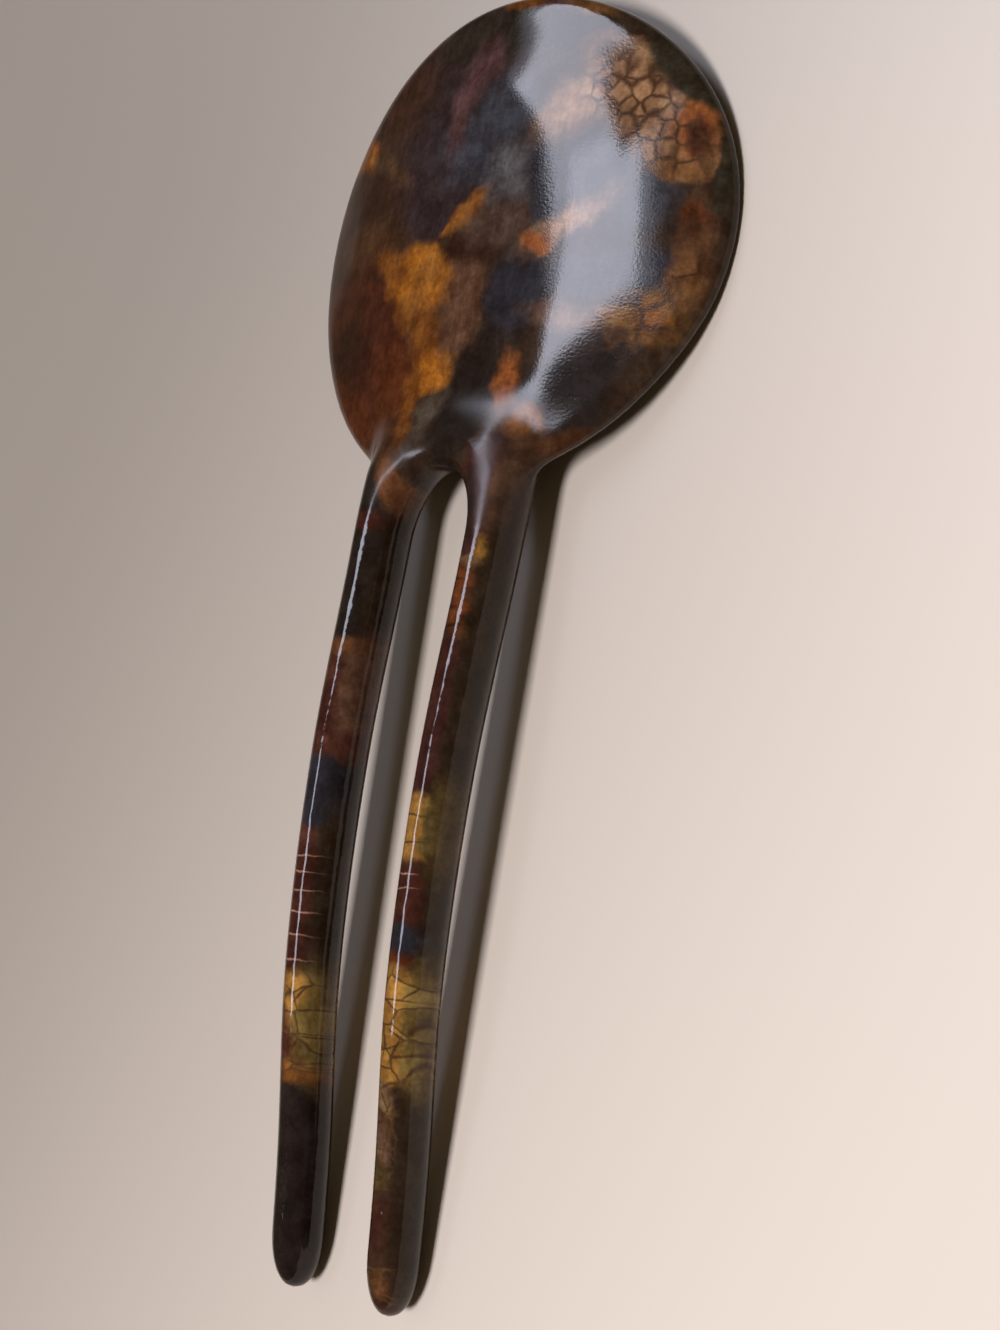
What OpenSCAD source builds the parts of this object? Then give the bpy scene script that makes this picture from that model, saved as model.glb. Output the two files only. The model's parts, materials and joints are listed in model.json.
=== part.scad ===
// Hair fork made from one piece: a domed, egg-shaped head with two arched prongs.
// It lies as it would on a table, dome up, on its two tips and the two sides of its head.
// X runs across the fork, +Y from the tips to the head, +Z up from the table.

/* [Overall] */
// Length from the prong tips to the far edge of the head
total_length = 140; // [120:1:170]

/* [Head] */
// Width of the head at its widest
head_width = 56; // [48:0.5:66]
// Length of the head's egg-shaped outline
head_length = 55; // [48:1:64]
// How much fuller the far half of the outline is than the near half
head_egg = 0.05; // [0:0.01:0.1]
// Thickness in the middle of the head
head_thickness = 4.4; // [3.4:0.1:5.6]
// Thickness of the head along its rounded rim
rim_thickness = 2.4; // [1.8:0.1:3.2]
// Width of the band in which the rim thickens to the middle
rim_band = 14; // [8:1:20]

/* [Prongs] */
// Distance between the prongs' centre lines at the head
root_spacing = 15.8; // [14:0.1:18]
// Distance between the prongs' centre lines at the tips
tip_spacing = 13.5; // [12:0.1:17]
// Width of a prong at the head
root_width = 5.2; // [4.4:0.1:7]
// Width of a prong just before its rounded tip
tip_width = 4.9; // [3.6:0.1:6]
// Thickness of a prong at the head
root_thickness = 7.6; // [5:0.1:9]
// Thickness of a prong just before its rounded tip
tip_thickness = 6.3; // [4:0.1:7.4]
// Length over which a tip rounds off
tip_length = 5.6; // [4:0.2:12]

/* [Root] */
// How far the gap between the prongs runs into the head's outline
crotch_depth = 2.2; // [1:0.1:6]
// Length over which the gap narrows to its rounded end
crotch_run = 7.4; // [4:0.2:12]
// Reach of the hollow blend where a prong's outer side meets the head
shoulder_blend = 2.5; // [2:0.5:7]
// How far the thick neck at the root runs on into the head before it has faded
neck_run = 14; // [8:1:22]
// Length over which the root takes on the head's sideways bow
bow_run = 12; // [6:0.5:18]

/* [Arch] */
// Rise of the prongs' middle line from the tips to the top of the arch
arch_rise = 5.6; // [3:0.1:9]

/* [Mesh] */
// Steps across the top of one prong, or of half the head
across_steps = 13; // [9:1:15]
// Steps along each prong between its tip and its root
prong_steps = 26; // [16:1:32]
// Steps along each half of the head
head_steps = 20; // [12:1:20]

/* [Hidden] */
shell_colour = [0.24, 0.11, 0.05];

// Steps along a rounded tip and along the rounded end of the gap
tip_steps = 7;
root_steps = 12;
// Halvings in the search for the outer edge
edge_halvings = 24;
// Sharpness of the crease where a prong sinks into the head
crease_power = 3;
// Powers that blunt the tips seen from the side, and gather the head's rows towards the gap
tip_power = 0.8;
gather_power = 1.8;

// Middle line of the arch: [share of the total length, share of the arch's rise]
SHARE = 0;
RISE = 1;
arch = [
    [0.00, 0.00],
    [0.10, 0.30],
    [0.24, 0.85],
    [0.40, 1.00],
    [0.57, 0.75],
    [0.74, 0.68],
    [0.87, 0.62],
    [1.00, 0.50]
];

// Places along the length, measured from the tips
head_start = total_length - head_length;
head_middle = total_length - head_length / 2;
gap_end = head_start + crotch_depth;
root_start = gap_end - crotch_run;
neck_start = gap_end - crotch_depth / 2;

// Helpers
function mix(a, b, t) = a + (b - a) * t;
function clamp01(t) = max(0, min(1, t));
function smooth(t) = let (u = clamp01(t)) u * u * (3 - 2 * u);
function round_over(d, r) = d >= r ? 1 : sqrt(max(0, 1 - pow(1 - max(0, d) / r, 2)));
function soft_max(a, b, k) = let (h = max(k - abs(a - b), 0) / k) max(a, b) + h * h * k / 4;
function power_sum(a, b, n) = pow(pow(abs(a), n) + pow(abs(b), n), 1 / n);

// Height of the arch's middle line above its height at the tips
function arch_slope(i) =
    let (a = max(i - 1, 0), b = min(i + 1, len(arch) - 1))
    (arch[b][RISE] - arch[a][RISE]) / (arch[b][SHARE] - arch[a][SHARE]);
function arch_span(s, i = 0) = i >= len(arch) - 2 || s < arch[i + 1][SHARE] ? i : arch_span(s, i + 1);
function arch_share(s) =
    let (
        i = arch_span(s),
        w = arch[i + 1][SHARE] - arch[i][SHARE],
        t = (s - arch[i][SHARE]) / w
    )
    arch[i][RISE] * (1 + 2 * t) * pow(1 - t, 2)
    + arch_slope(i) * w * t * pow(1 - t, 2)
    + arch[i + 1][RISE] * t * t * (3 - 2 * t)
    + arch_slope(i + 1) * w * t * t * (t - 1);
function arch_height(y) = arch_rise * arch_share(y / total_length);

// Prong sizes along the length
function along_prong(y) = clamp01(y / head_start);
function prong_centre(y) = mix(tip_spacing, root_spacing, along_prong(y)) / 2;
function prong_half_width(y) = mix(tip_width, root_width, along_prong(y)) / 2 * round_over(y, tip_length);
function prong_half_thickness(y) =
    mix(tip_thickness, root_thickness, along_prong(y)) / 2 * pow(round_over(y, tip_length), tip_power);
gap_radius = prong_centre(root_start) - prong_half_width(root_start);

// Height of the middle line above the table, which the tips' undersides touch
tip_rows = [for (i = [0 : tip_steps]) tip_length * (1 - cos(90 * i / tip_steps))];
tip_drop = min([for (y = tip_rows) arch_height(y) - prong_half_thickness(y)]);
function middle_height(y) = arch_height(y) - tip_drop;

// Sideways bow of the head: its rounded rim, which leans with the bow, comes down to the table
rim_radius = rim_thickness / 2;
head_drop = (middle_height(head_middle) - rim_radius) / (1 - 4 * rim_radius / head_width);
function bow(y) = head_drop * smooth((y - root_start) / bow_run);
function middle_surface(x, y) = middle_height(y) - bow(y) * pow(2 * x / head_width, 2);

// Depth inside the head's outline, and inside the prongs' outer sides: below 0 is outside
function head_swing(y) = (y - head_middle) / (head_length / 2);
function head_reach(y) = head_width / 2 * (1 + head_egg * head_swing(y));
function head_depth(x, y) =
    (1 - power_sum(x / head_reach(y), head_swing(y), 2)) * head_length / 2;
function prong_depth(x, y) = prong_centre(y) + prong_half_width(y) - x;
function rim_distance(x, y) =
    y > head_middle ? head_depth(x, y)
    : soft_max(head_depth(x, y), prong_depth(x, y), shoulder_blend);

// Distance from the edge of the gap between the prongs, which ends in half an oval
function gap_swing(y) = (y - root_start) / crotch_run;
function gap_distance(x, y) =
    y < root_start ? x - prong_centre(y) + prong_half_width(y)
    : (sqrt(pow(x / gap_radius, 2) + pow(gap_swing(y), 2)) - 1) * gap_radius;
function edge_distance(x, y) = max(0, min(rim_distance(x, y), gap_distance(x, y)));

// Inner and outer edge of a row: the outer one is found by halving the stretch that holds it
function inner_edge(y) =
    y >= gap_end ? 0
    : y < root_start ? prong_centre(y) - prong_half_width(y)
    : gap_radius * sqrt(max(0, 1 - pow(gap_swing(y), 2)));
function halve(y, inside, outside, left) =
    let (x = (inside + outside) / 2)
    left == 0 ? x
    : rim_distance(x, y) > 0 ? halve(y, x, outside, left - 1)
    : halve(y, inside, x, left - 1);
function outer_edge(y) =
    y > head_middle ? head_reach(y) * sqrt(max(0, 1 - pow(head_swing(y), 2)))
    : y < head_start - 2 * shoulder_blend ? prong_centre(y) + prong_half_width(y)
    : halve(y, prong_centre(y) + prong_half_width(y), head_width, edge_halvings);

// Half thickness: the head is a lens with a rounded rim, the prongs are rounded bars that run
// on into it and sink into its surface, and the two are joined by a soft crease
function lens_part(x, y) =
    let (d = edge_distance(x, y))
    mix(rim_thickness, head_thickness, smooth(d / rim_band)) / 2
    * round_over(d, rim_radius)
    * smooth((y - root_start) / crotch_run);
function prong_part(x, y) =
    prong_half_thickness(y)
    * smooth((neck_start + neck_run - y) / neck_run)
    * round_over(min(prong_depth(x, y), gap_distance(x, y)), prong_half_width(y));
function half_thickness(x, y) =
    power_sum(lens_part(x, y), prong_part(x, y), crease_power);

// Rows along the length, closer together where the outline turns fast
row_places = concat(
    tip_rows,
    [for (i = [1 : prong_steps - 1]) mix(tip_length, root_start, i / prong_steps)],
    [for (i = [0 : root_steps - 1]) mix(root_start, gap_end, sin(90 * i / root_steps))],
    [for (i = [0 : head_steps - 1]) mix(gap_end, head_middle, pow(i / head_steps, gather_power))],
    [for (i = [0 : head_steps]) mix(head_middle, total_length, sin(90 * i / head_steps))]
);
last_row = len(row_places) - 1;
first_head_row = tip_steps + prong_steps + root_steps;

// Places across a row, from the inner edge to the outer edge
function across_share(j, y) =
    let (u = j / across_steps)
    mix((1 - cos(180 * u)) / 2, sin(90 * u), smooth((y - gap_end) / (head_middle - gap_end)));
function places_across(y) =
    let (inner = inner_edge(y), outer = outer_edge(y))
    [for (j = [0 : across_steps]) mix(inner, outer, across_share(j, y))];

// One ring: over the top from the inner to the outer edge, and back along the underside
ring_size = 2 * across_steps;
function ring(y) =
    let (xs = places_across(y))
    concat(
        [for (j = [0 : across_steps])
            [xs[j], y, middle_surface(xs[j], y) + half_thickness(xs[j], y)]],
        [for (j = [across_steps - 1 : -1 : 1])
            [xs[j], y, middle_surface(xs[j], y) - half_thickness(xs[j], y)]]
    );
function under_seam(y) = [0, y, middle_surface(0, y) - half_thickness(0, y)];

// Points: the rings of the right half, the same mirrored, and the underside's middle seam
right_points = [for (y = row_places) each ring(y)];
left_points = [for (p = right_points) [-p[0], p[1], p[2]]];
seam_points = [for (y = row_places) under_seam(y)];
all_points = concat(right_points, left_points, seam_points);
lowest = min([for (p = all_points) p[2]]);
points = [for (p = all_points) p - [0, total_length / 2, lowest]];

// Index of a ring's point k: the tips and the far end are single points,
// and the halves of the head share the points on the middle line
function point_index(side, row, k) =
    row == last_row ? row * ring_size
    : row == 0 ? (side * len(row_places)) * ring_size
    : row < first_head_row ? (side * len(row_places) + row) * ring_size + k % ring_size
    : k == 0 ? row * ring_size
    : k < ring_size ? (side * len(row_places) + row) * ring_size + k
    : row == first_head_row ? row * ring_size
    : 2 * len(row_places) * ring_size + row;

// Two triangles for each step of a ring, turned over on the mirrored side, without empty ones
function whole(t) = t[0] != t[1] && t[1] != t[2] && t[2] != t[0];
faces = [
    for (side = [0, 1], row = [0 : last_row - 1], k = [0 : ring_size - 1])
        let (
            a = point_index(side, row, k),
            b = point_index(side, row, k + 1),
            c = point_index(side, row + 1, k + 1),
            d = point_index(side, row + 1, k)
        )
        for (t = [[a, b, c], [a, c, d]])
            if (whole(t)) side == 1 ? t : [t[2], t[1], t[0]]
];

module hair_fork() {
    color(shell_colour)
        polyhedron(points = points, faces = faces, convexity = 6);
}

hair_fork();
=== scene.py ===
import json
import math

import bpy
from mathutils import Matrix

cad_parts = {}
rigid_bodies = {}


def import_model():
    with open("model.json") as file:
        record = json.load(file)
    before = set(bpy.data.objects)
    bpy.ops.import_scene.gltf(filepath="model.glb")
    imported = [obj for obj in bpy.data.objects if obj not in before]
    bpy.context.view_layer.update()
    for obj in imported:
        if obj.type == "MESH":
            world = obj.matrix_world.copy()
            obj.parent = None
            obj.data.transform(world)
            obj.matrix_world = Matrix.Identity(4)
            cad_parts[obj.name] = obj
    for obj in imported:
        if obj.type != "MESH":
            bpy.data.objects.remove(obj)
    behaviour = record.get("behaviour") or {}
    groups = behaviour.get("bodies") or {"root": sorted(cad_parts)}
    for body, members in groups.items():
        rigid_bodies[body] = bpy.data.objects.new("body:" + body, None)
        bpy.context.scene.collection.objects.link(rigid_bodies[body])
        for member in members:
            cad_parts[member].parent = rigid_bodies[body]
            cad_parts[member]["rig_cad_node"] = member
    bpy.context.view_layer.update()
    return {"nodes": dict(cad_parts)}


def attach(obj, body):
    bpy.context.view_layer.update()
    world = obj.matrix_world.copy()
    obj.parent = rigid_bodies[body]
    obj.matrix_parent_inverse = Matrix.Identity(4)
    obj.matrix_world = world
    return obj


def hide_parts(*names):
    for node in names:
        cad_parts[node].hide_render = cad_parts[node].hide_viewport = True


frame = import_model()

mm = 0.001  # metres in a millimetre


def pickOnly(thing):
    bpy.ops.object.select_all(action="DESELECT")
    thing.select_set(True)
    bpy.context.view_layer.objects.active = thing


def linear(hexTone):
    # a tone written as rrggbb, as the shaders want it
    parts = [int(hexTone[i:i + 2], 16) / 255 for i in (0, 2, 4)]
    return tuple(c / 12.92 if c <= 0.04045 else ((c + 0.055) / 1.055) ** 2.4 for c in parts) + (1,)


def addNode(tree, kind, **settings):
    node = tree.nodes.new(kind)
    for name, value in settings.items():
        setattr(node, name, value)
    return node


def feed(tree, node, values):
    # each value is a number, a vector, a colour, or the socket that it comes from
    for socket, value in values.items():
        if isinstance(value, bpy.types.NodeSocket):
            tree.links.new(value, node.inputs[socket])
        else:
            node.inputs[socket].default_value = value
    return node


def mathNode(tree, operation, first, second=0.0):
    node = addNode(tree, "ShaderNodeMath", operation=operation)
    return feed(tree, node, {0: first, 1: second}).outputs[0]


def vectorNode(tree, operation, first, second=(0, 0, 0)):
    node = addNode(tree, "ShaderNodeVectorMath", operation=operation)
    return feed(tree, node, {0: first, 1: second}).outputs[0]


def mixTones(tree, share, first, second, blend="MIX"):
    # the node's inputs 6 and 7 and its output 2 are the ones for colours
    node = addNode(tree, "ShaderNodeMix", data_type="RGBA", blend_type=blend)
    return feed(tree, node, {0: share, 6: first, 7: second}).outputs[2]


def spread(tree, value, low, high, newLow=0.0, newHigh=1.0):
    node = addNode(tree, "ShaderNodeMapRange", interpolation_type="SMOOTHSTEP")
    feed(tree, node, {"Value": value, "From Min": low, "From Max": high})
    return feed(tree, node, {"To Min": newLow, "To Max": newHigh}).outputs[0]


def newGroup(name, inputs, outputs):
    group = bpy.data.node_groups.new(name, "ShaderNodeTree")
    for label, kind in inputs.items():
        group.interface.new_socket(label, in_out="INPUT", socket_type="NodeSocket" + kind)
    for label, kind in outputs.items():
        group.interface.new_socket(label, in_out="OUTPUT", socket_type="NodeSocket" + kind)
    return group, group.nodes.new("NodeGroupInput").outputs, group.nodes.new("NodeGroupOutput")


def placeGroup(tree, group, values):
    node = addNode(tree, "ShaderNodeGroup", node_tree=group)
    return feed(tree, node, values).outputs


# camera, at the angle the fork is seen from
view = {
    "place": (0.16623, -0.02806, 0.19015),
    "turn": (13.292, 38.712, 11.579),  # degrees
    "lens": 64.15,  # mm
    "film": 36,  # mm across
    "near": 0.01,  # m, nothing closer is drawn
}

bpy.ops.object.camera_add(location=view["place"], rotation=[math.radians(a) for a in view["turn"]])
camera = bpy.context.object
camera.name = "viewCamera"
camera.data.lens = view["lens"]
camera.data.sensor_width = view["film"]
camera.data.clip_start = view["near"]
bpy.context.scene.camera = camera
print("camera set")

# the fork itself: the pressed shape, smoothed to a polished surface
forkShape = {
    "weld": 0.02,  # mm, nearer corners are one
    "flat": 50,  # degrees between two triangles that make one face
    "rounds": 2,  # of subdivision
    "grid": 0.34,  # mm, of the even mesh made over it
    "rub": 0.5,  # how far each rub takes a corner to the middle of its neighbours
    "rubs": 6,
    "rootRubs": 60,
    "rootFrom": 9,  # mm along the fork
    "rootTo": 36,
    "rootFade": 8,
}

cadFork = frame["nodes"]["hair_fork"]
pickOnly(cadFork)
bpy.ops.object.duplicate()
fork = bpy.context.object
fork.name = "polishedFork"
fork.data.name = "polishedFork"
del fork["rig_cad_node"]
bpy.ops.object.parent_clear(type="CLEAR_KEEP_TRANSFORM")
bpy.ops.mesh.customdata_custom_splitnormals_clear()
bpy.ops.object.mode_set(mode="EDIT")
bpy.ops.mesh.select_all(action="SELECT")
bpy.ops.mesh.remove_doubles(threshold=forkShape["weld"] * mm)
flat = math.radians(forkShape["flat"])
bpy.ops.mesh.tris_convert_to_quads(face_threshold=flat, shape_threshold=flat)
bpy.ops.object.mode_set(mode="OBJECT")
rounder = fork.modifiers.new("rounder", "SUBSURF")
rounder.levels = forkShape["rounds"]
rounder.render_levels = forkShape["rounds"]
bpy.ops.object.modifier_apply(modifier="rounder")

fork.data.remesh_voxel_size = forkShape["grid"] * mm
bpy.ops.object.voxel_remesh()

# it is rubbed smooth all over, and most where the prongs run into the head
everywhere = fork.vertex_groups.new(name="everywhere")
root = fork.vertex_groups.new(name="root")
for vertex in fork.data.vertices:
    along = vertex.co.y / mm
    everywhere.add([vertex.index], 1, "REPLACE")
    share = min(along - forkShape["rootFrom"], forkShape["rootTo"] - along) / forkShape["rootFade"]
    if share > 0:
        root.add([vertex.index], min(share, 1), "REPLACE")
for name, rubs in (("root", forkShape["rootRubs"]), ("everywhere", forkShape["rubs"])):
    rubber = fork.modifiers.new("rubber", "SMOOTH")
    rubber.vertex_group = name
    rubber.factor = forkShape["rub"]
    rubber.iterations = rubs
    bpy.ops.object.modifier_apply(modifier="rubber")
bpy.ops.object.shade_smooth()
print("fork shaped:", len(fork.data.polygons), "faces")

# tones of the tortoiseshell, as rrggbb
tones = {
    "base": "30231b",
    "ink": "251f1a",
    "violet": "2d2226",
    "blueInk": "24232b",
    "slate": "31323b",
    "plum": "4c3538",
    "smoke": "4c4a50",
    "umber": "342119",
    "murky": "40281a",
    "hazel": "442f22",
    "darkRed": "3d1c13",
    "deepRed": "29140e",
    "blood": "44261e",
    "brick": "4a2412",
    "rust": "663c18",
    "orange": "753f1a",
    "flame": "824c28",
    "amber": "925a1e",
    "streak": "754920",
    "honey": "6c4a20",
    "ochre": "65452a",
    "cell": "836348",
    "peach": "8c6c55",
    "clay": "51382b",
    "olive": "2c271f",
    "moss": "6c5a32",
    "cocoa": "4c3222",
    # painted highlight: the grey of a soft sheen
    "sheenGrey": "4c433c",
    "red": "381c17",
    "wine": "341b19",
    "char": "1f1817",
    "gold": "87622e",
    "tan": "67513a",
    "rose": "62493c",
    "glow": "7f5224",
    "russet": "341f19",
    "ember": "5c3118",
    "toffee": "5a3822",
    "dusk": "44342f",
    # painted shade: the dark tone laid down the prongs' right sides, away from the lamps
    "shadedSide": "2b2017",
    "lichen": "4a3c22",
    "vein": "4a3520",
    "greyVein": "45331f",
    "softVein": "47301f",
    "paleVein": "8c6a5c",
}

# patches on the head: centre x, y and half width, half height in mm, turn in degrees, softness, tone
headPatches = {
    "crown": (-9, 57, 11, 12, -15, 0.4, "violet"),
    "crownLeft": (-18, 60, 7, 6, 30, 0.6, "russet"),
    "crownLow": (-8, 46, 4.6, 4.6, 0, 0.35, "violet"),
    "slateWash": (-2.6, 51.6, 5, 3.4, -20, 0.7, "slate"),
    "crownRight": (0.8, 56.4, 4.2, 4, -20, 0.4, "slate"),
    "topBand": (-1, 65.8, 13, 2.8, 0, 0.4, "ink"),
    "topPlum": (4.6, 69, 2.6, 1.0, -8, 0.6, "plum"),
    "smokeMiddle": (3.4, 49.2, 3.4, 3.2, -10, 0.7, "smoke"),
    "plumStreak": (-5.4, 57.8, 1.6, 5.6, -6, 0.7, "plum"),
    "plumTop": (-3.2, 62.8, 2.1, 2.4, 10, 0.7, "plum"),
    "leftMurk": (-21, 46, 8, 8.5, 0, 0.5, "umber"),
    "leftMurkLow": (-18, 42.8, 6, 2.6, -5, 0.7, "murky"),
    "leftMurkDark": (-20, 49, 3.4, 2.0, -10, 0.8, "deepRed"),
    "leftStreak": (-16.8, 52.4, 4.6, 0.9, -40, 0.8, "hazel"),
    "rimOrange": (-24, 55.2, 3.4, 1.7, -30, 0.5, "orange"),
    "rimOrangeHot": (-22.4, 54.3, 1.3, 0.9, -20, 0.7, "glow"),
    "rimOrangeTail": (-19.6, 53.0, 2.2, 0.5, -34, 0.8, "hazel"),
    "redLobe": (-17.4, 31, 10, 9.5, 20, 0.3, "darkRed"),
    "redLobeDark": (-20, 31, 4.4, 4.4, 0, 0.8, "deepRed"),
    "redLobeGlow": (-9.2, 25.6, 2.8, 6, 8, 0.7, "brick"),
    "redLobeRim": (-15, 22.8, 5.4, 2.0, -32, 0.8, "brick"),
    "amberMain": (-7.4, 38.2, 5, 3.3, -8, 0.35, "amber"),
    "amberHot": (-6.2, 38.6, 2.6, 1.8, 10, 0.7, "glow"),
    "amberLeft": (-12.6, 39.8, 3.2, 1.3, -22, 0.5, "rust"),
    "amberFoot": (-8, 34.8, 2.5, 1.9, 20, 0.5, "streak"),
    "amberBridge": (-5.1, 31.3, 2.0, 3.4, 8, 0.6, "rust"),
    "amberLow": (-3.5, 27.4, 3.1, 2.1, 15, 0.45, "amber"),
    "amberTail": (-5.9, 24, 1.2, 4.4, 6, 0.6, "rust"),
    "amberStreak": (-2, 45.2, 3.1, 1.3, 42, 0.5, "streak"),
    "amberStreakFoot": (-4, 43.2, 1.4, 0.7, 20, 0.6, "glow"),
    "middleBrown": (-0.4, 35, 2.8, 6.4, 0, 0.6, "clay"),
    "middleWine": (-0.6, 41.4, 3.4, 1.9, -10, 0.8, "deepRed"),
    "middleTop": (2.4, 43.6, 3.8, 2.4, 0, 0.8, "dusk"),
    "inkMiddle": (6.4, 35.8, 3.6, 5.0, -6, 0.35, "blueInk"),
    "inkArc": (7.8, 47.6, 2.0, 5.6, 12, 0.4, "blueInk"),
    "inkRoot": (2.4, 24.4, 3.4, 7.8, -12, 0.35, "char"),
    "flame": (7.2, 26.2, 1.5, 2.9, 8, 0.5, "flame"),
    "flameFoot": (7.9, 23, 0.9, 1.6, 0, 0.7, "clay"),
    "peachBand": (12.4, 44.4, 6.0, 1.5, 34, 0.7, "peach"),
    "peachTail": (8, 41.2, 1.9, 1.0, -20, 0.5, "flame"),
    "peachLow": (14, 33.4, 4.6, 1.2, -3, 0.8, "rose"),
    "inkBand": (13, 49.8, 4.6, 4.6, -15, 0.5, "slate"),
    "inkBandRight": (19.6, 46.6, 3, 3.4, 0, 0.6, "slate"),
    "inkBandLow": (15.4, 38.2, 6.4, 2.2, 5, 0.5, "slate"),
    "inkBandCorner": (20.6, 38.6, 2.2, 2, 0, 0.6, "blueInk"),
    "honeyCells": (21.8, 33.4, 3.2, 2.9, 15, 0.3, "honey"),
    "honeyHot": (22, 33, 1.7, 1.7, 0, 0.8, "streak"),
    "honeyLeft": (17.8, 33.4, 2.4, 1.5, 0, 0.4, "honey"),
    "crackle": (17.4, 56.2, 8.2, 3.6, -42, 0.3, "cell"),
    "crackleLow": (21.8, 51.6, 4.0, 3.0, -10, 0.35, "cell"),
    "crackleTop": (12.4, 62, 3.4, 2.3, -15, 0.4, "ochre"),
    # partly the cells' own peach, partly painted sheen beside the highlight
    "crackleSheen": (10.4, 56.8, 4.6, 2.6, 35, 0.7, "peach"),
    "crackleEdge": (16.4, 61.4, 2.8, 1.0, -42, 0.6, "cell"),
    "crackleRed": (23, 54.2, 2.4, 3.0, 10, 0.5, "flame"),
    "crackleWine": (23.4, 53.2, 1.1, 1.8, 0, 0.7, "blood"),
    "crackleFoot": (22.4, 49.6, 3.2, 1.2, 6, 0.5, "ochre"),
    "oliveRim": (22.6, 62.2, 8, 4.8, -43, 0.15, "olive"),
    "oliveSide": (26.6, 50.4, 1.2, 6, 4, 0.4, "olive"),
    "ochreRim": (24.8, 41.4, 1.6, 5.6, 0, 0.5, "cocoa"),
    "ochreRimRed": (24.6, 44.6, 1.0, 1.5, 0, 0.7, "brick"),
    "ochreRimLow": (24.4, 37, 1.5, 2.6, 20, 0.6, "ochre"),
    "lowInk": (15, 26.2, 7.2, 4.0, 25, 0.35, "char"),
    "lowBrown": (21.8, 27.4, 2.4, 4.0, -30, 0.6, "base"),
    "rootWine": (7.2, 18.6, 2.0, 2.8, 0, 0.6, "wine"),
    "rootBrown": (10.2, 22.4, 1.5, 1.7, 0, 0.6, "streak"),
    "rootBrownRight": (13.4, 20.4, 3.8, 1.3, 24, 0.6, "murky"),
    "topAmber": (-0.4, 69.3, 2.6, 1.0, 0, 0.5, "rust"),
    "topOchre": (9.2, 67.8, 3.2, 0.9, -18, 0.6, "ochre"),
    "topLeftOchre": (-13.8, 66.4, 2.4, 0.8, 24, 0.7, "cocoa"),
    # painted highlight: a soft grey sheen on the fold just left of where the prongs part
    "foldSheen": (-2.5, 22.8, 1.4, 2.0, -20, 0.8, "sheenGrey"),
}
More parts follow.
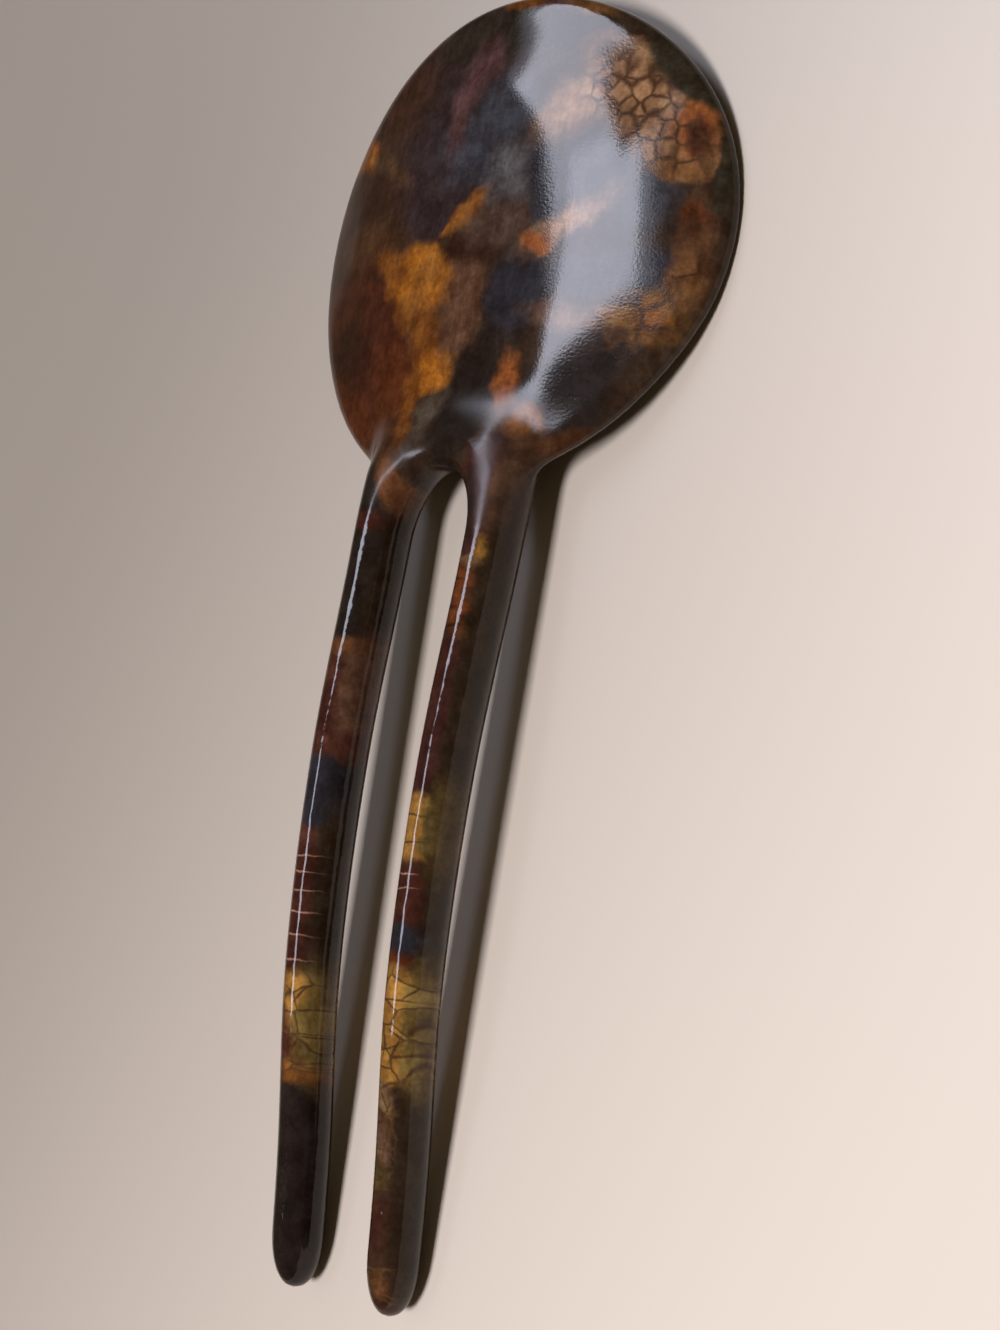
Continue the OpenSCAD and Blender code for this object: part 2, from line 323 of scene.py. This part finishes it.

# patches on the two prongs, written the same way; the ones down each prong's right side are painted
# shade
prongPatches = {
    "leftInk": (-7.5, 2, 4.6, 15, 0, 0.1, "char"),
    "leftRoot": (-5.2, 14.4, 1.3, 4.0, 22, 0.5, "toffee"),
    "leftCollar": (-8, 10.8, 3.4, 1.2, 0, 0.4, "red"),
    # painted shade on the left prong's right side
    "leftSideShadeHigh": (-5, 4, 1.2, 8, 0, 0.5, "shadedSide"),
    "leftBand": (-7.4, -3.2, 4, 1.0, 8, 0.6, "toffee"),
    "leftBandEnd": (-5.6, -4.4, 1.1, 1.0, 0, 0.7, "clay"),
    "leftWine": (-8, -9.6, 3.4, 5.2, 0, 0.2, "red"),
    "leftWineTop": (-8.4, -5.4, 1.8, 1.2, 10, 0.6, "blood"),
    "leftBrown": (-5.4, -9, 1.1, 6.4, 0, 0.5, "clay"),
    "leftBrownLow": (-6, -13.2, 1.6, 1.6, 0, 0.6, "blood"),
    "leftBlue": (-7.5, -18.6, 4, 4.0, 4, 0.2, "blueInk"),
    "leftRed": (-8, -30, 3.2, 7.8, 0, 0.12, "red"),
    "leftRedTop": (-8.4, -23.2, 2, 1.2, 0, 0.6, "blood"),
    # painted shade on the left prong's right side
    "leftSideShade": (-4.9, -28, 1.1, 9, 0, 0.5, "shadedSide"),
    "leftOchre": (-6.6, -42.6, 1.2, 5.4, 0, 0.25, "honey"),
    # painted shade and painted reflection: the ochre dulled to olive on the left prong's right side
    "leftOchreSideShade": (-5.2, -42.6, 1.5, 5.2, 0, 0.5, "moss"),
    "leftHoney": (-7.0, -39.4, 1.7, 2.1, 0, 0.35, "gold"),
    "leftBlood": (-8.2, -45.2, 1.7, 3.9, 0, 0.4, "blood"),
    "leftFoot": (-6, -47.6, 1.5, 1.2, 0, 0.5, "streak"),
    "leftBlack": (-7, -60.6, 4.4, 11.8, 0, 0.05, "char"),
    # painted shade on the left prong's right side near its tip
    "leftBlackSideShade": (-5.8, -58, 1.0, 9, 0, 0.8, "char"),
    "rightInk": (7, 13, 3, 7, 0, 0.2, "wine"),
    "rightRoot": (9.6, 14.4, 0.9, 5, 0, 0.6, "clay"),
    "rightCrook": (6, 11.6, 1.4, 4.4, 0, 0.5, "char"),
    "rightMoss": (9.2, 8.2, 0.7, 1.3, 0, 0.6, "gold"),
    "rightPale": (6.8, 6.8, 2.0, 0.5, 0, 0.7, "tan"),
    "rightOrange": (6.8, 2.9, 2.8, 3.6, 0, 0.3, "ember"),
    "rightOrangeFoot": (8.6, -0.6, 1.2, 0.8, 20, 0.6, "toffee"),
    "rightOrangeTop": (8.9, 3.4, 0.8, 0.7, 0, 0.7, "murky"),
    "rightWine": (7.2, -9.2, 3.4, 8.4, 0, 0.12, "wine"),
    "rightWineGlow": (6.4, -4, 1.4, 3, 0, 0.8, "red"),
    "rightGold": (7.2, -21, 3.4, 3.5, 0, 0.2, "gold"),
    "rightGoldMoss": (8.9, -19, 0.9, 1.4, 0, 0.6, "moss"),
    "rightGoldMossLow": (8.9, -22.6, 0.8, 0.8, 0, 0.6, "moss"),
    "rightRed": (7, -27.8, 3.4, 3.6, 0, 0.25, "red"),
    "rightBlue": (7.2, -32.2, 3.6, 1.6, 0, 0.4, "blueInk"),
    "rightBrick": (6.6, -34.2, 2.2, 0.9, -6, 0.5, "brick"),
    "rightAmber": (7, -40.8, 3.6, 6.0, 0, 0.12, "gold"),
    "rightTan": (6.0, -49, 2.0, 2.9, 0, 0.25, "tan"),
    "rightRose": (6.2, -52.4, 1.7, 3.0, 0, 0.3, "rose"),
    "rightMossLow": (6.0, -55.8, 1.6, 1.8, 0, 0.4, "lichen"),
    "rightWineLow": (7.2, -61.6, 4, 4.4, 0, 0.25, "umber"),
    "rightWineSpot": (6.4, -60.4, 1.4, 2.2, 0, 0.8, "red"),
    "rightTip": (7.2, -68.4, 3, 2.6, 0, 0.4, "umber"),
    "rightTipCell": (7.3, -66.5, 0.9, 1.4, 0, 0.5, "toffee"),
    # painted shade down the right prong's right side
    "rightSideShade": (9.9, -12, 1.0, 27, 0, 0.4, "shadedSide"),
    "rightSideShadeLow": (9.4, -57, 1.3, 12, 0, 0.5, "shadedSide"),
    # painted shade and painted reflection: the gold and the amber dulled to olive down the right prong's
    # right side
    "rightSideShadeGold": (9.6, -20.8, 1.1, 4.6, 0, 0.5, "lichen"),
    "rightSideShadeAmber": (9.5, -41, 1.2, 6.2, 0, 0.4, "moss"),
}

# fine lines: centre x, y and half length, half width in mm, turn in degrees, softness, tone
fineLines = {
    "amberCrackHigh": (7.4, -38.2, 1.9, 0.11, 4, 0.7, "vein"),
    "amberCrackFork": (8.9, -37.3, 1.0, 0.10, 52, 0.7, "vein"),
    "amberCrackMiddle": (8.2, -41.7, 1.3, 0.12, -24, 0.7, "vein"),
    "amberCrackDrop": (7.9, -43, 1.5, 0.12, 70, 0.7, "vein"),
    "amberCrackLow": (6.4, -43.3, 1.4, 0.09, 12, 0.7, "greyVein"),
    "amberCrackFoot": (7.5, -46.6, 1.7, 0.16, 22, 0.7, "vein"),
    "tanCrack": (7.0, -48.4, 1.6, 0.14, -62, 0.7, "vein"),
    "roseCrackTop": (6.4, -50.4, 1.2, 0.15, 8, 0.7, "vein"),
    "roseCrackSide": (7.3, -52.4, 1.9, 0.13, 82, 0.7, "vein"),
    "roseCrackFoot": (6.4, -54.4, 1.3, 0.16, -12, 0.7, "vein"),
    "mossCrack": (6.3, -57.2, 1.3, 0.16, 10, 0.7, "vein"),
    "tipCellTop": (7.4, -65, 1.1, 0.12, 8, 0.7, "vein"),
    "tipCellFoot": (7.5, -68, 1.0, 0.14, -30, 0.7, "vein"),
    "ochreCrack": (-6, -39.6, 1.2, 0.11, 58, 0.7, "vein"),
    "ochreCrackMiddle": (-5.9, -43.6, 1.2, 0.12, 8, 0.7, "vein"),
    "ochreCrackFoot": (-5.9, -46.7, 1.3, 0.14, -16, 0.7, "vein"),
    "orangeCrackHigh": (6.4, 4.8, 1.6, 0.16, 4, 0.8, "deepRed"),
    "orangeCrackMiddle": (6.4, 2.0, 1.4, 0.26, -6, 0.8, "deepRed"),
    "orangeCrackLow": (6.8, -0.2, 1.8, 0.2, 10, 0.8, "deepRed"),
    "goldCrack": (6.8, -19.6, 2.0, 0.10, -3, 0.8, "greyVein"),
    "goldCrackLow": (7.2, -22.4, 2.0, 0.10, 5, 0.8, "greyVein"),
}

# thin pale lines across the red of the prongs: all alike, then x, half length and each line's y in mm
paleLine = {"halfHigh": 0.09, "turn": 4, "softness": 0.8, "tone": "paleVein"}
paleLines = {
    "left": (-7.3, 1.5, (-25.3, -27.0, -28.9, -31.1, -33.6, -36.1)),
    "right": (6.8, 1.3, (-25.6, -27.1)),
}

# dried cells with veins between them: sizes in mm, darkest and lightest cell, and the ovals they fill
veinFields = {
    "crackle": {"cell": 2.2, "width": 0.16, "tone": "softVein", "shades": (0.84, 1.16), "over": [
        (17, 55.8, 8.6, 4.0, -42, 0.25), (12, 61.6, 4, 2.6, -15, 0.3), (22.2, 51.6, 3.8, 3.2, 0, 0.4)]},
    "honey": {"cell": 3.6, "width": 0.12, "tone": "softVein", "shades": (0.88, 1.14), "over": [
        (20.4, 33.3, 5.4, 3.2, 5, 0.3), (24.8, 40, 1.8, 5, 0, 0.5)]},
    "prongs": {"cell": 2.9, "width": 0.05, "tone": "vein", "shades": (0.8, 1.2), "over": [
        (7.2, -41, 4, 6.2, 0, 0.1), (6.2, -51.6, 2.2, 6, 0, 0.2), (-6, -43, 2.2, 6, 0, 0.2),
        (7.3, -66.9, 1.6, 2, 0, 0.4)]},
}

finish = {
    "bend": 1.38,  # index of the polish
    "headRough": 0.08,
    "prongRough": 0.07,
    "prongEnd": 12,  # mm along the fork, where the prong's finish starts to change
    "headStart": 24,  # mm, where the head's is reached
}

# unevenness of the polish: size and height in mm, detail of the noise, on the head or the prongs
bumps = {
    "grain": {"size": 0.3, "high": 0.005, "detail": 2.0, "onHead": True},
    "wave": {"size": 4.0, "high": 0.05, "detail": 1.0, "onHead": False},
    "ripple": {"size": 1.3, "high": 0.03, "detail": 1.0, "onHead": False},
}

# duller spots at the prongs' roots, written as the patches are but ending with how much rougher
dullSpots = {
    "leftFold": (-9, 21.5, 4, 2, 0, 0.5, 0.14),
    "leftRoot": (-5, 16, 5.5, 3, 34, 0.5, 0.16),
    "rightFold": (6.4, 23.6, 6, 2.4, -8, 0.5, 0.14),
    "rightRoot": (8.2, 15, 2.8, 5, 0, 0.5, 0.3),
}


def blotchGroup():
    # one soft-edged oval of colour laid over what is under it
    inputs = {"Place": "Vector", "Centre": "Vector", "Half Size": "Vector", "Turn": "Float",
              "Softness": "Float", "Under": "Color", "Tone": "Color"}
    group, given, result = newGroup("blotch", inputs, {"Tone": "Color", "Mask": "Float"})
    offset = vectorNode(group, "SUBTRACT", given["Place"], given["Centre"])
    turned = addNode(group, "ShaderNodeVectorRotate", rotation_type="Z_AXIS", invert=True)
    feed(group, turned, {"Vector": offset, "Angle": given["Turn"]})
    shrunk = vectorNode(group, "DIVIDE", turned.outputs[0], given["Half Size"])
    reach = addNode(group, "ShaderNodeVectorMath", operation="LENGTH")
    feed(group, reach, {0: shrunk})
    outer = mathNode(group, "ADD", 1.0, given["Softness"])
    inner = mathNode(group, "SUBTRACT", 1.0, given["Softness"])
    mask = spread(group, reach.outputs["Value"], inner, outer, 1.0, 0.0)
    tone = mixTones(group, mask, given["Under"], given["Tone"])
    feed(group, result, {"Tone": tone, "Mask": mask})
    return group


veinLook = {
    "random": 0.8,
    "detail": 2.0,  # of the noise that the lines come and go by
    "widest": 2.2,  # times the line width
}


def veinGroup():
    # cells of a dried, crackled layer: dark lines between them and a shade for each cell
    inputs = {"Place": "Vector", "Cell Size": "Float", "Line Width": "Float"}
    group, given, result = newGroup("cellVeins", inputs, {"Line": "Float", "Cell": "Float"})
    perCell = mathNode(group, "DIVIDE", 1.0, given["Cell Size"])
    lines = addNode(group, "ShaderNodeTexVoronoi", feature="DISTANCE_TO_EDGE")
    feed(group, lines, {"Vector": given["Place"], "Scale": perCell, "Randomness": veinLook["random"]})
    cells = addNode(group, "ShaderNodeTexVoronoi", feature="F1")
    feed(group, cells, {"Vector": given["Place"], "Scale": perCell, "Randomness": veinLook["random"]})
    patchy = addNode(group, "ShaderNodeTexNoise")
    feed(group, patchy, {"Vector": given["Place"], "Scale": perCell, "Detail": veinLook["detail"]})
    wide = mathNode(group, "MULTIPLY", given["Line Width"], patchy.outputs["Fac"])
    wide = mathNode(group, "MULTIPLY", wide, veinLook["widest"])
    line = spread(group, lines.outputs["Distance"], 0.0, wide, 1.0, 0.0)
    shade = addNode(group, "ShaderNodeSeparateColor")
    feed(group, shade, {0: cells.outputs["Color"]})
    feed(group, result, {"Line": line, "Cell": shade.outputs[0]})
    return group


warpDetail = 2.0


def warpGroup():
    # moves the pattern about by a noise of one size
    inputs = {"Place": "Vector", "Size": "Float", "Reach": "Float"}
    group, given, result = newGroup("warp", inputs, {"Place": "Vector"})
    scale = mathNode(group, "DIVIDE", 1.0, given["Size"])
    noise = addNode(group, "ShaderNodeTexNoise")
    feed(group, noise, {"Vector": given["Place"], "Scale": scale, "Detail": warpDetail})
    centred = vectorNode(group, "SUBTRACT", noise.outputs["Color"], (0.5, 0.5, 0.5))
    push = addNode(group, "ShaderNodeVectorMath", operation="SCALE")
    feed(group, push, {0: centred, "Scale": given["Reach"]})
    feed(group, result, {"Place": vectorNode(group, "ADD", given["Place"], push.outputs[0])})
    return group


mottleNoise = {"detail": 5.0, "roughness": 0.62, "thick": 0.3, "thin": 0.7}


def mottleGroup():
    # cloudy shading: thin places paler, thick places darker and redder
    inputs = {"Place": "Vector", "Size": "Float", "Thick": "Color", "Thin": "Color", "Under": "Color"}
    group, given, result = newGroup("mottle", inputs, {"Tone": "Color"})
    scale = mathNode(group, "DIVIDE", 1.0, given["Size"])
    noise = addNode(group, "ShaderNodeTexNoise")
    feed(group, noise, {"Vector": given["Place"], "Scale": scale, "Detail": mottleNoise["detail"],
                        "Roughness": mottleNoise["roughness"]})
    share = spread(group, noise.outputs["Fac"], mottleNoise["thick"], mottleNoise["thin"])
    tint = mixTones(group, share, given["Thick"], given["Thin"])
    feed(group, result, {"Tone": mixTones(group, 1.0, given["Under"], tint, "MULTIPLY")})
    return group


# how far each layer of the pattern is moved about: size of the noise and reach, both in mm
drifts = {
    "broad": (6.0, 3.0),
    "wavy": (1.5, 1.1),
    "feathered": (0.45, 0.5),
    "slight": (1.5, 1.3),
    "ragged": (0.5, 0.5),
    "rounded": (1.1, 0.55),
}

streakStretch = (1.1, 0.22, 1)  # the streaks run along the fork

mottles = {
    "clouds": {"size": 2.4, "thick": (0.66, 0.56, 0.52, 1), "thin": (1.3, 1.28, 1.24, 1)},
    "specks": {"size": 0.55, "thick": (0.84, 0.8, 0.78, 1), "thin": (1.14, 1.14, 1.14, 1)},
    "streaks": {"size": 1.0, "thick": (0.82, 0.78, 0.76, 1), "thin": (1.16, 1.16, 1.15, 1)},
}


def oval(where, x, y, wide, high, turn, soft):
    return {"Place": where, "Centre": (x, y, 0), "Half Size": (wide, high, 1),
            "Turn": math.radians(turn), "Softness": soft}


def lay(tree, blotch, under, where, patch):
    *shape, tone = patch
    colours = {"Under": under, "Tone": linear(tones[tone])}
    return placeGroup(tree, blotch, oval(where, *shape) | colours)[0]


def spot(tree, blotch, where, shape):
    return placeGroup(tree, blotch, oval(where, *shape))[1]


def patternPlaces(tree, warp, inMm):
    # where each layer of the pattern is looked up: moved about, and most of them as seen from above
    def moved(where, name):
        size, reach = drifts[name]
        return placeGroup(tree, warp, {"Place": where, "Size": size, "Reach": reach})[0]

    def flattened(where):
        return vectorNode(tree, "MULTIPLY", where, (1, 1, 0))

    flat = flattened(inMm)
    broad = moved(flat, "broad")
    slight = moved(inMm, "slight")
    return {
        "flat": flat,
        "head": flattened(moved(moved(broad, "wavy"), "feathered")),
        "prongs": flattened(moved(slight, "ragged")),
        "lines": flattened(moved(flat, "rounded")),
        "clouds": slight,
        "specks": inMm,
        "streaks": vectorNode(tree, "MULTIPLY", broad, streakStretch),
    }


def paintPatches(tree, blotch, places):
    tone = linear(tones["base"])
    for patch in headPatches.values():
        tone = lay(tree, blotch, tone, places["head"], patch)
    for patch in prongPatches.values():
        tone = lay(tree, blotch, tone, places["prongs"], patch)
    return tone


def paintCells(tree, blotch, veins, places, tone):
    for field in veinFields.values():
        mask = 0.0
        for shape in field["over"]:
            mask = mathNode(tree, "MAXIMUM", mask, spot(tree, blotch, places["prongs"], shape))
        line, cell = placeGroup(tree, veins, {
            "Place": places["lines"], "Cell Size": field["cell"], "Line Width": field["width"]})
        darkest, lightest = field["shades"]
        shade = spread(tree, cell, 0.0, 1.0, darkest, lightest)
        grey = addNode(tree, "ShaderNodeCombineColor")
        grey = feed(tree, grey, {0: shade, 1: shade, 2: shade}).outputs[0]
        tone = mixTones(tree, mask, tone, mixTones(tree, 1.0, tone, grey, "MULTIPLY"))
        tone = mixTones(tree, mathNode(tree, "MULTIPLY", mask, line), tone, linear(tones[field["tone"]]))
    return tone


def paintLines(tree, blotch, places, tone):
    for patch in fineLines.values():
        tone = lay(tree, blotch, tone, places["lines"], patch)
    thin = (paleLine["halfHigh"], paleLine["turn"], paleLine["softness"], paleLine["tone"])
    for x, halfLong, rows in paleLines.values():
        for y in rows:
            tone = lay(tree, blotch, tone, places["lines"], (x, y, halfLong) + thin)
    return tone


def paintMottles(tree, mottle, places, tone):
    for name, made in mottles.items():
        tone = placeGroup(tree, mottle, {
            "Place": places[name], "Size": made["size"], "Thick": made["thick"],
            "Thin": made["thin"], "Under": tone})[0]
    return tone


def polish(tree, blotch, inMm, flat):
    # the head and the prongs differ, and the polish is dullest at the prongs' roots
    apart = addNode(tree, "ShaderNodeSeparateXYZ")
    feed(tree, apart, {0: inMm})
    onHead = spread(tree, apart.outputs["Y"], finish["prongEnd"], finish["headStart"])
    offHead = mathNode(tree, "SUBTRACT", 1.0, onHead)
    rough = spread(tree, onHead, 0.0, 1.0, finish["prongRough"], finish["headRough"])
    for *shape, more in dullSpots.values():
        dull = mathNode(tree, "MULTIPLY", spot(tree, blotch, flat, shape), more)
        rough = mathNode(tree, "ADD", rough, dull)
    normal = {}
    for made in bumps.values():
        noise = addNode(tree, "ShaderNodeTexNoise")
        feed(tree, noise, {"Vector": inMm, "Scale": 1 / made["size"], "Detail": made["detail"]})
        bump = addNode(tree, "ShaderNodeBump")
        feed(tree, bump, {"Height": noise.outputs["Fac"], "Distance": made["high"] * mm,
                          "Strength": onHead if made["onHead"] else offHead} | normal)
        normal = {"Normal": bump.outputs[0]}
    return {"Roughness": rough} | normal


def tortoiseshell():
    material = bpy.data.materials.new("tortoiseshell")
    material.use_nodes = True
    tree = material.node_tree
    tree.nodes.clear()
    place = addNode(tree, "ShaderNodeTexCoord").outputs["Object"]
    inMm = addNode(tree, "ShaderNodeVectorMath", operation="SCALE")
    inMm = feed(tree, inMm, {0: place, "Scale": 1 / mm}).outputs[0]

    blotch = blotchGroup()
    places = patternPlaces(tree, warpGroup(), inMm)
    tone = paintPatches(tree, blotch, places)
    tone = paintCells(tree, blotch, veinGroup(), places, tone)
    tone = paintLines(tree, blotch, places, tone)
    tone = paintMottles(tree, mottleGroup(), places, tone)

    shader = addNode(tree, "ShaderNodeBsdfPrincipled")
    feed(tree, shader, {"Base Color": tone, "IOR": finish["bend"]})
    feed(tree, shader, polish(tree, blotch, inMm, places["flat"]))
    out = addNode(tree, "ShaderNodeOutputMaterial")
    tree.links.new(shader.outputs[0], out.inputs["Surface"])
    return material


fork.data.materials.clear()
fork.data.materials.append(tortoiseshell())
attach(fork, "root")
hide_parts("hair_fork")
print("tortoiseshell laid on")

# table and light: a pale table, its colour painted darker to the left and brighter towards the near
# right, as painted light and shade
studio = {
    "tableShadedTone": "948880",
    "tableLitTone": "d5c5ba",
    "from": -82,  # mm, across the table, where the painted shade ends
    "to": 90,
    "lean": -22,  # degrees that the painted change from shade to light is turned by
    "tableRough": 0.45,
    "tableSize": 6,  # m across
    "roomLight": 0.12,
    "roomTone": (0.95, 0.76, 0.44, 1),
    "backdrop": "b3a79d",
    "lampHeight": 0.95,  # m
    "lampTone": (0.95, 0.975, 1.0),
    "polishTone": (0.93, 0.96, 1.12),
}

# soft lamps: place and size in m, turn about the upright in degrees, power in W;
# one lights the scene, and the others only show in the polish
lamps = {
    "mainLamp": {"place": (-0.1486, 0.3248), "turn": 22, "size": (0.38, 0.28), "power": 4.24},
    "mainTop": {"place": (-0.2588, 0.4636), "turn": 22, "size": (0.28, 0.06), "power": 0.67},
    "mainEdge": {"place": (-0.135, 0.331), "turn": 22, "size": (0.45, 0.30), "power": 1.24},
    "farLamp": {"place": (-0.526, 0.671), "turn": -41, "size": (0.70, 0.32), "power": 6.4},
    "farEdge": {"place": (-0.639, 0.769), "turn": -41, "size": (0.70, 0.36), "power": 1.1},
    "sideLamp": {"place": (-0.315, -0.14), "turn": 0, "size": (0.20, 0.44), "power": 3.4},
    "roofLamp": {"place": (0.055, -0.32), "turn": 0, "size": (0.17, 0.30), "power": 12.7},
}
lightingLamp = "roofLamp"

bpy.ops.mesh.primitive_plane_add(size=studio["tableSize"], location=(0, 0, 0))
table = bpy.context.object
table.name = "paleTable"
tableMaterial = bpy.data.materials.new("paleTable")
tableMaterial.use_nodes = True
tableTree = tableMaterial.node_tree
tableShader = tableTree.nodes["Principled BSDF"]
tablePlace = addNode(tableTree, "ShaderNodeTexCoord").outputs["Object"]
lean = math.radians(studio["lean"])
acrossTable = addNode(tableTree, "ShaderNodeVectorMath", operation="DOT_PRODUCT")
feed(tableTree, acrossTable, {0: tablePlace, 1: (math.cos(lean), math.sin(lean), 0)})
# painted light and shade: across the table the tone goes from the shaded tone to the lit tone
paintedLightShare = spread(tableTree, acrossTable.outputs["Value"], studio["from"] * mm, studio["to"] * mm)
tableToneWithPaintedLight = mixTones(tableTree, paintedLightShare, linear(studio["tableShadedTone"]), linear(studio["tableLitTone"]))
feed(tableTree, tableShader, {"Base Color": tableToneWithPaintedLight, "Roughness": studio["tableRough"]})
table.data.materials.append(tableMaterial)

for name, made in lamps.items():
    bpy.ops.object.light_add(type="AREA", location=(*made["place"], studio["lampHeight"]),
                             rotation=(0, 0, math.radians(made["turn"])))
    lamp = bpy.context.object
    lamp.name = name
    lamp.data.shape = "RECTANGLE"
    lamp.data.size, lamp.data.size_y = made["size"]
    lamp.data.energy = made["power"]
    lights = name == lightingLamp
    lamp.data.color = studio["lampTone" if lights else "polishTone"]
    lamp.visible_diffuse = lights
    lamp.visible_glossy = not lights

world = bpy.context.scene.world or bpy.data.worlds.new("room")
bpy.context.scene.world = world
world.use_nodes = True
worldTree = world.node_tree
sky = worldTree.nodes["Background"]
feed(worldTree, sky, {"Color": studio["roomTone"], "Strength": studio["roomLight"]})
# behind the table a pale backdrop is seen, which lights nothing
backdrop = addNode(worldTree, "ShaderNodeBackground")
feed(worldTree, backdrop, {"Color": linear(studio["backdrop"])})
seen = addNode(worldTree, "ShaderNodeLightPath").outputs["Is Camera Ray"]
behind = addNode(worldTree, "ShaderNodeMixShader")
feed(worldTree, behind, {0: seen, 1: sky.outputs[0], 2: backdrop.outputs[0]})
worldTree.links.new(behind.outputs[0], worldTree.nodes["World Output"].inputs["Surface"])
bpy.context.scene.view_settings.view_transform = "Standard"
print("table and light set")
